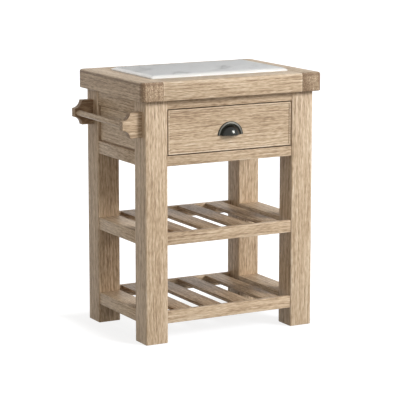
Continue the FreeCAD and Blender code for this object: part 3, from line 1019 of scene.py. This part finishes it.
@dataclass
class Worktop:
    """Framed top of four thick boards round a marble inset."""

    oak: LimedOak
    marble: Marble
    top: float = 0.900
    under: float = 0.835
    half_x: float = 0.350
    half_y: float = 0.250
    well_x: float = 0.270
    well_y: float = 0.160
    corner: Round = Round(0.018, 12)
    top_edge: Round = Round(0.008, 6)
    under_edge: Round = Round(0.003, 3)
    joint: Round = Round(0.0004)
    dark_tip: float = 0.230
    dark_tip_tone: float = -0.30
    pale_tip: float = 0.265
    pale_tip_tone: float = 0.14
    upper_sheen_tone: float = 0.13
    side_tone: float = -0.04
    arris_band_from: float = 0.886
    stone_corner: Round = Round(0.003, 5)
    stone_soft: Round = Round(0.0006, 3)
    stone_slope: float = 0.014
    stone_rise: float = 0.0075

    def round_over(self, piece: bpy.types.Object, wanted: EdgeTest) -> None:
        """Round those upper and lower edges of a board that pass a test, then soften its joints.

        Args:
            piece: The board.
            wanted: Test on the two ends of an edge.
        """
        for level, shape in ((self.top, self.top_edge), (self.under, self.under_edge)):
            Bench.bevel(piece, lambda a, b: both(level, 2)(a, b) and wanted(a, b), shape)
        Bench.soften(piece, self.joint)

    def side_board(self, hand: str, sign: float) -> None:
        """Model one end board, rounded on its three outer sides.

        Args:
            hand: "left" or "right".
            sign: Side of the island that it is on.
        """
        node = "top_board_" + hand
        piece = Bench.block(node + "_slab", *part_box(node))
        outer = both(sign * self.half_x, 0)
        inner = both(sign * self.well_x, 0)
        Bench.bevel(piece, lambda a, b: outer(a, b) and rising(a, b), self.corner)
        self.round_over(piece, lambda a, b: not inner(a, b))
        # The tops get a painted sheen.
        marks = Marks(self.side_tone, (UP,), self.upper_sheen_tone, self.dark_tip, self.dark_tip_tone,
                      arris_band_from=self.arris_band_from)
        Bench.fit(piece, Body.CARCASS, Slot.OAK, self.oak.material(node, Grain.Y, marks), node)

    def cross_board(self, end: str, sign: float) -> None:
        """Model the front or rear board.

        Args:
            end: "front" or "rear".
            sign: Side of the island that it is on.
        """
        node = "top_board_" + end
        outer = sign * self.half_y
        inner = sign * self.well_y
        low = Vector((-self.well_x, min(outer, inner), self.under))
        high = Vector((self.well_x, max(outer, inner), self.top))
        piece = Bench.block(node + "_slab", low, high)
        self.round_over(piece, both(outer, 1))
        # The top gets a painted sheen.
        marks = Marks(0.0, (UP,), self.upper_sheen_tone, self.pale_tip, self.pale_tip_tone)
        Bench.fit(piece, Body.CARCASS, Slot.OAK, self.oak.material(node, Grain.X, marks), node)

    def stone(self) -> None:
        """Model the marble inset: a slab whose top is inset and raised, so that its rim slopes."""
        low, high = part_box("marble_inset")
        knee = high.z - self.stone_rise
        piece = Bench.block("marble_slab", low, Vector((high.x, high.y, knee)))
        Bench.pick_level(piece, knee)
        with Bench.editing():
            bpy.ops.mesh.inset(thickness=self.stone_slope)
            bpy.ops.transform.translate(value=(0.0, 0.0, self.stone_rise))
        Bench.bevel(piece, rising, self.stone_corner)
        Bench.soften(piece, self.stone_soft)
        Bench.fit(piece, Body.CARCASS, Slot.MARBLE, self.marble.material(), "marble_inset")

    def build(self) -> None:
        """Model and dress the whole top."""
        self.side_board("left", -1.0)
        self.side_board("right", 1.0)
        self.cross_board("front", -1.0)
        self.cross_board("rear", 1.0)
        self.stone()


@dataclass
class TowelRail:
    """Round bar between two brackets with coved noses."""

    oak: LimedOak
    leg_face: float = -0.327
    shoulder: float = 0.044
    lip: float = 0.037
    reach: float = 0.071
    tip: float = 0.015
    cove: float = 0.0055
    cutter_sides: int = 160
    cutter_spare: float = 1.5
    soft: Round = Round(0.0012, 3)
    tone: float = -0.08
    inner_shade_tone: float = -0.30
    bar_sides: int = 64
    bar_end: Round = Round(0.002, 3)
    bar_soft: Round = Round(0.0003)

    def cove_cutter(self, low: Vector, high: Vector, side: float) -> bpy.types.Object:
        """Cylinder that hollows the nose above or below its tip.

        Args:
            low: Lowest corner of the bracket.
            high: Highest corner of it.
            side: 1 for the upper cove, -1 for the lower one.

        Returns:
            The cutter.
        """
        start = Vector((self.shoulder, self.lip))
        end = Vector((self.reach, self.tip))
        chord = end - start
        radius = chord.length ** 2 / (8.0 * self.cove) + self.cove / 2.0
        out = Vector((-chord.y, chord.x)).normalized()
        centre = (start + end) / 2.0 + out * (radius - self.cove)
        middle = (low + high) / 2.0
        place = (self.leg_face - centre.x, middle.y, middle.z + side * centre.y)
        length = (high.y - low.y) * self.cutter_spare
        return Bench.rod("cove_cutter", radius, length, place, self.cutter_sides, QUARTER_TURN)

    def bracket(self, end: str, inwards: Triple) -> None:
        """Model one bracket: a block hollowed twice at its nose.

        Args:
            end: "front" or "rear".
            inwards: Direction of the other bracket.
        """
        node = "towel_bracket_" + end
        low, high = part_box(node)
        piece = Bench.block(node + "_nose", low, high)
        for side in (1.0, -1.0):
            Bench.carve(piece, self.cove_cutter(low, high, side))
        Bench.soften(piece, self.soft)
        # The inner face of each bracket gets painted shade.
        marks = Marks(self.tone, (inwards,), self.inner_shade_tone)
        Bench.fit(piece, Body.CARCASS, Slot.OAK, self.oak.material(node, Grain.X, marks), node)

    def bar(self) -> None:
        """Model the bar, its ends rounded inside the brackets."""
        low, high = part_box("towel_bar")
        radius = (high.x - low.x) / 2.0
        length = high.y - low.y
        middle = (low + high) / 2.0
        piece = Bench.rod("towel_bar_rod", radius, length, middle, self.bar_sides, QUARTER_TURN)
        Bench.bevel(piece, lambda a, b: same(a.y, b.y), self.bar_end)
        Bench.soften(piece, self.bar_soft)
        Bench.fit(piece, Body.CARCASS, Slot.OAK, self.oak.material("towel_bar", Grain.Y), "towel_bar")

    def build(self) -> None:
        """Model and dress the towel rail."""
        self.bracket("front", BACK)
        self.bracket("rear", FRONT)
        self.bar()


@dataclass
class Screws:
    """Slotted screws: two behind the pull and four up through the top's buttons."""

    steel: PlainSteel
    sides: int = 32
    head_radius: float = 0.004
    head_height: float = 0.0024
    shank_radius: float = 0.002
    dome: Round = Round(0.0013, 4)
    soft: Round = Round(0.0001)
    slot_half: float = 0.0005
    slot_depth: float = 0.0011
    cutter_spare: float = 2.0
    spin: float = 0.7

    def one(self, length: float) -> bpy.types.Object:
        """Model one screw that points up from the origin, its head below.

        Args:
            length: Length of its shank.

        Returns:
            The screw.
        """
        middle = (0.0, 0.0, -self.head_height / 2.0)
        piece = Bench.rod("slotted_screw", self.head_radius, self.head_height, middle, self.sides)
        Bench.pick_level(piece, 0.0)
        with Bench.editing():
            bpy.ops.mesh.inset(thickness=self.head_radius - self.shank_radius)
            bpy.ops.mesh.extrude_region_move(TRANSFORM_OT_translate={"value": (0.0, 0.0, length)})
        Bench.bevel(piece, both(-self.head_height, 2), self.dome)
        reach = self.head_radius * self.cutter_spare
        low = Vector((-reach, -self.slot_half, -self.head_height * self.cutter_spare))
        high = Vector((reach, self.slot_half, self.slot_depth - self.head_height))
        Bench.carve(piece, Bench.block("slot_cutter", low, high))
        Bench.soften(piece, self.soft)
        return piece

    def group(self, node: str, body: Body, length: float, tilt: float, places: list[Triple]) -> None:
        """Copy one screw to every place of a node.

        Args:
            node: Group of solids that they stand for.
            body: Body that they ride on.
            length: Length of the shanks.
            tilt: Turn about X from pointing up.
            places: Centres of the heads' seats.
        """
        master = self.one(length)
        copies = []
        for index, place in enumerate(places):
            Bench.take(master)
            bpy.ops.object.duplicate()
            copy = bpy.context.object
            copy.rotation_mode = "ZYX"
            copy.rotation_euler = (tilt, 0.0, self.spin * (index + 1))
            copy.location = place
            bpy.ops.object.transform_apply(location=True, rotation=True, scale=True)
            copies.append(copy)
        bpy.data.objects.remove(master)
        Bench.take(*copies)
        bpy.ops.object.join()
        piece = Bench.settle(node + "_slotted")
        Bench.fit(piece, body, Slot.STEEL, self.steel.material(), node)

    def build(self) -> None:
        """Model and dress both groups."""
        low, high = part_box("cup_pull_screws")
        reach = high.x - self.head_radius
        seat = high.y - self.head_height
        middle = (low.z + high.z) / 2.0
        places = [(x, seat, middle) for x in (-reach, reach)]
        self.group("cup_pull_screws", Body.DRAWER, seat - low.y, QUARTER_TURN, places)
        low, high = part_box("top_button_screws")
        out_x, out_y = high.x - self.head_radius, high.y - self.head_radius
        seat = low.z + self.head_height
        places = [(x, y, seat) for x in (-out_x, out_x) for y in (-out_y, out_y)]
        self.group("top_button_screws", Body.CARCASS, high.z - seat, 0.0, places)


@dataclass
class CupPull:
    """Cast half-dome pull with a flange.

    rim_curve and foot_curve are points of the section where the flange ends and where it turns
    up into the dome: distances from the flange's radius or from the axis, and from its front.
    """

    pewter: Pewter
    face: float = -0.222
    axis_z: float = 0.69825
    flange_radius: float = 0.0495
    flange_depth: float = 0.0025
    rim_curve: tuple[Pair, ...] = ((0.0, -0.001), (-0.0003, -0.0004), (-0.001, 0.0))
    foot_curve: tuple[Pair, ...] = ((0.0385, 0.0), (0.0376, 0.0002), (0.0371, 0.0007), (0.0367, 0.0013))
    ball: float = 0.04256
    ball_back: float = 0.01856
    dome_angle: float = math.radians(57.0)
    dome_steps: int = 18
    wall: float = 0.002
    cut_rise: float = 0.003
    spin_steps: int = 72
    seed_size: float = 0.001
    weld: float = 0.00002
    soft: Round = Round(0.0004)

    def profile(self) -> list[Pair]:
        """Closed section of the shell as distances from the axis and from the drawer's face.

        Returns:
            Points from the flange's outer edge over the dome and back along its inside.
        """
        points = [(self.flange_radius, 0.0)]
        points += [(self.flange_radius + out, self.flange_depth + up) for out, up in self.rim_curve]
        points += [(radius, self.flange_depth + up) for radius, up in self.foot_curve]
        shares = [step / self.dome_steps for step in range(self.dome_steps + 1)]
        inner = self.ball - self.wall
        widest = math.acos(self.ball_back / inner)
        outside = [(self.ball, self.dome_angle * (1.0 - share)) for share in shares]
        inside = [(inner, widest * share) for share in shares]
        for radius, angle in outside + inside:
            points.append((radius * math.sin(angle), radius * math.cos(angle) - self.ball_back))
        return points

    def build(self) -> None:
        """Model and dress the pull: a section drawn by extrusion, spun half round and cut level."""
        points = self.profile()
        centre = (0.0, self.face, self.axis_z)
        start = (-points[0][0], self.face - points[0][1], self.axis_z)
        cut = (0.0, self.face, self.axis_z + self.cut_rise)
        Bench.clear()
        bpy.ops.mesh.primitive_plane_add(size=self.seed_size, location=start)
        piece = Bench.settle("cup_pull_shell")
        bpy.context.tool_settings.mesh_select_mode = Pick.POINTS.value
        with Bench.editing():
            bpy.ops.mesh.select_all(action="SELECT")
            bpy.ops.mesh.merge(type="CENTER")
            for (r0, d0), (r1, d1) in zip(points, points[1:]):
                bpy.ops.mesh.extrude_region_move(TRANSFORM_OT_translate={"value": (r0 - r1, d0 - d1, 0.0)})
            bpy.ops.mesh.select_all(action="SELECT")
            bpy.ops.mesh.edge_face_add()
            bpy.ops.mesh.delete(type="ONLY_FACE")
            bpy.ops.mesh.select_all(action="SELECT")
            bpy.ops.mesh.spin(steps=self.spin_steps, angle=-math.pi, center=centre, axis=BACK)
            bpy.ops.mesh.select_all(action="SELECT")
            bpy.ops.mesh.remove_doubles(threshold=self.weld)
            bpy.ops.mesh.bisect(plane_co=cut, plane_no=UP, use_fill=True, clear_inner=True)
            bpy.ops.mesh.select_all(action="SELECT")
            bpy.ops.mesh.normals_make_consistent(inside=False)
        Bench.soften(piece, self.soft)
        finish = self.pewter.material(self.axis_z, self.face - self.flange_depth)
        Bench.fit(piece, Body.DRAWER, Slot.PULL, finish, "cup_pull")


@dataclass
class InnerWork:
    """Solids that keep their own mesh and only get a finish."""

    oak: LimedOak
    inner: LimedOak
    panel: LimedOak
    drawer_field: Triple = (0.2335, 1.0, 0.0695)
    drawer_middle: float = 0.7245
    drawer_edge_shade_tone: float = -0.42
    panel_field: Triple = (1.0, 0.143, 0.06325)
    panel_middle: float = 0.71875
    panel_tone: float = 0.08

    @staticmethod
    def dress(node: str, timber: LimedOak, grain: Grain, marks: Marks = Marks()) -> None:
        """Put a finish on one solid.

        Args:
            node: The solid.
            timber: What it is made of.
            grain: Direction of its grain.
            marks: What sets it apart.
        """
        finish = timber.material(node, grain, marks)
        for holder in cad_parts[node].material_slots:
            holder.material = finish
        LOG.info("dressed %s", node)

    def build(self) -> None:
        """Dress the drawer, its gear, the panels and the hidden fixings."""
        # Painted shade on the drawer front's edge faces, which show in the gap round it.
        marks = Marks(painted_light_faces=(UP, DOWN, LEFT, RIGHT), painted_light_tone=self.drawer_edge_shade_tone,
                      quirk=self.drawer_field, middle_z=self.drawer_middle)
        self.dress("drawer_front", self.oak, Grain.X, marks)
        marks = Marks(self.panel_tone, sunk=self.panel_field, middle_z=self.panel_middle)
        for node in ("side_panel_left", "side_panel_right"):
            self.dress(node, self.panel, Grain.Y, marks)
        for node in ("back_panel", "drawer_bottom", "sub_top_panel"):
            self.dress(node, self.panel, Grain.X)
        for node in ("drawer_back", "top_buttons", "towel_bracket_tenons"):
            self.dress(node, self.inner, Grain.X)
        for kind in ("drawer_side", "drawer_runner", "drawer_guide", "drawer_kicker"):
            for hand in ("left", "right"):
                self.dress(kind + "_" + hand, self.inner, Grain.Y)
        self.dress("drawer_stops", self.inner, Grain.Y)


@dataclass
class Studio:
    """Pale floor, soft light and the camera."""

    floor_size: float = 60.0
    floor_colour: Colour = (0.315, 0.325, 0.345)
    floor_lift: float = 0.82
    footprint: Triple = (0.327, 0.227, 1.0)
    shadow_limits: Pair = (0.03, 0.15)
    key_place: Triple = (1.5, -3.0, 3.0)
    key_power: float = 2.62
    key_softness: float = 0.38
    key_azimuth: float = 37.0
    key_height: float = 28.0
    sky_colour: Colour = (1.0, 0.945, 0.86)
    horizon_light: float = 1.18
    horizon_fall: float = 1.2
    camera_place: Triple = (-3.1700, -5.8296, 1.6567)
    camera_azimuth: float = 28.561
    camera_pitch: float = 10.400
    camera_far: float = 200.0
    sensor: float = 36.0
    focal_px: float = 1906.4
    image_px: float = 400.0

    @staticmethod
    def seen(g: Graph) -> Sock:
        """Mask of rays that show the background itself: camera, glossy and transmission rays.

        Args:
            g: Graph of the floor or the world.

        Returns:
            The mask.
        """
        direct, glossy, through = (g.node("ShaderNodeLightPath", output=f"Is {kind} Ray")
                                   for kind in ("Camera", "Glossy", "Transmission"))
        return direct.highest(glossy).highest(through)

    def floor(self) -> None:
        """Lay a pale floor that keeps the island's shadow close round its feet: away from them its glow
        rises to white, a painted light that hides the shadow there.
        """
        Bench.clear()
        bpy.ops.mesh.primitive_plane_add(size=self.floor_size, location=ZERO)
        plane = Bench.settle("studio_floor")
        made, g = new_finish("studio_floor")
        paint = g.node("ShaderNodeBsdfDiffuse", {}, {"Color": (*self.floor_colour, 1.0)})
        away = g.step(g.beyond(g.place(), self.footprint), self.shadow_limits)
        glow = (self.floor_lift + away * (1.0 - self.floor_lift)) * self.seen(g)
        lift = g.node("ShaderNodeEmission", {}, {"Strength": glow})
        both_lights = g.node("ShaderNodeAddShader", {}, {0: paint, 1: lift})
        g.node("ShaderNodeOutputMaterial", {}, {"Surface": both_lights})
        plane.data.materials.append(made)

    def surroundings(self) -> None:
        """White background, with light that fades from the horizon to overhead."""
        world = bpy.data.worlds.new("studio")
        world.use_nodes = True
        bpy.context.scene.world = world
        g = Graph(world.node_tree)
        way = g.node("ShaderNodeTexCoord", output="Generated")
        height = g.node("ShaderNodeSeparateXYZ", {}, {"Vector": way}, "Z")
        strength = (1.0 - height.highest(0.0)) ** self.horizon_fall * self.horizon_light
        light = g.node("ShaderNodeBackground", {}, {"Color": (*self.sky_colour, 1.0), "Strength": strength})
        white = g.node("ShaderNodeBackground", {}, {"Color": (*WHITE, 1.0), "Strength": 1.0})
        shown = g.node("ShaderNodeMixShader", {}, {0: self.seen(g), 1: light, 2: white})
        g.node("ShaderNodeOutputWorld", {}, {"Surface": shown})

    def key(self) -> None:
        """Soft key light from the front right."""
        Bench.clear()
        bpy.ops.object.light_add(type="SUN", location=self.key_place)
        lamp = bpy.context.object
        lamp.name = "key_light"
        lamp.data.energy = self.key_power
        lamp.data.angle = self.key_softness
        lamp.rotation_euler = (math.radians(90.0 - self.key_height), 0.0, math.radians(self.key_azimuth))

    def camera(self) -> None:
        """Camera at the photograph's viewing angle."""
        Bench.clear()
        turn = (math.radians(90.0 - self.camera_pitch), 0.0, -math.radians(self.camera_azimuth))
        bpy.ops.object.camera_add(location=self.camera_place, rotation=turn)
        eye = bpy.context.object
        eye.name = "photo_camera"
        eye.data.sensor_width = self.sensor
        eye.data.lens = self.sensor * self.focal_px / self.image_px
        eye.data.clip_end = self.camera_far
        bpy.context.scene.camera = eye

    def build(self) -> None:
        """Set up the whole studio."""
        bpy.context.scene.view_settings.view_transform = "Standard"
        self.floor()
        self.surroundings()
        self.key()
        self.camera()


def main() -> None:
    """Build every sub-assembly, then the studio."""
    logging.basicConfig(level=logging.INFO, format="%(name)s: %(message)s")
    oak = LimedOak()
    panel = LimedOak(spread=0.03)
    inner = LimedOak(dark=(0.27, 0.17, 0.09), body=(0.54, 0.39, 0.23), pale=(0.68, 0.53, 0.35),
                     pore_depth=0.12)
    LegFrame(oak).build()
    Boards(oak).build()
    Worktop(oak, Marble()).build()
    TowelRail(oak).build()
    CupPull(Pewter()).build()
    Screws(PlainSteel()).build()
    InnerWork(oak, inner, panel).build()
    Studio().build()


if __name__ == "__main__":
    main()
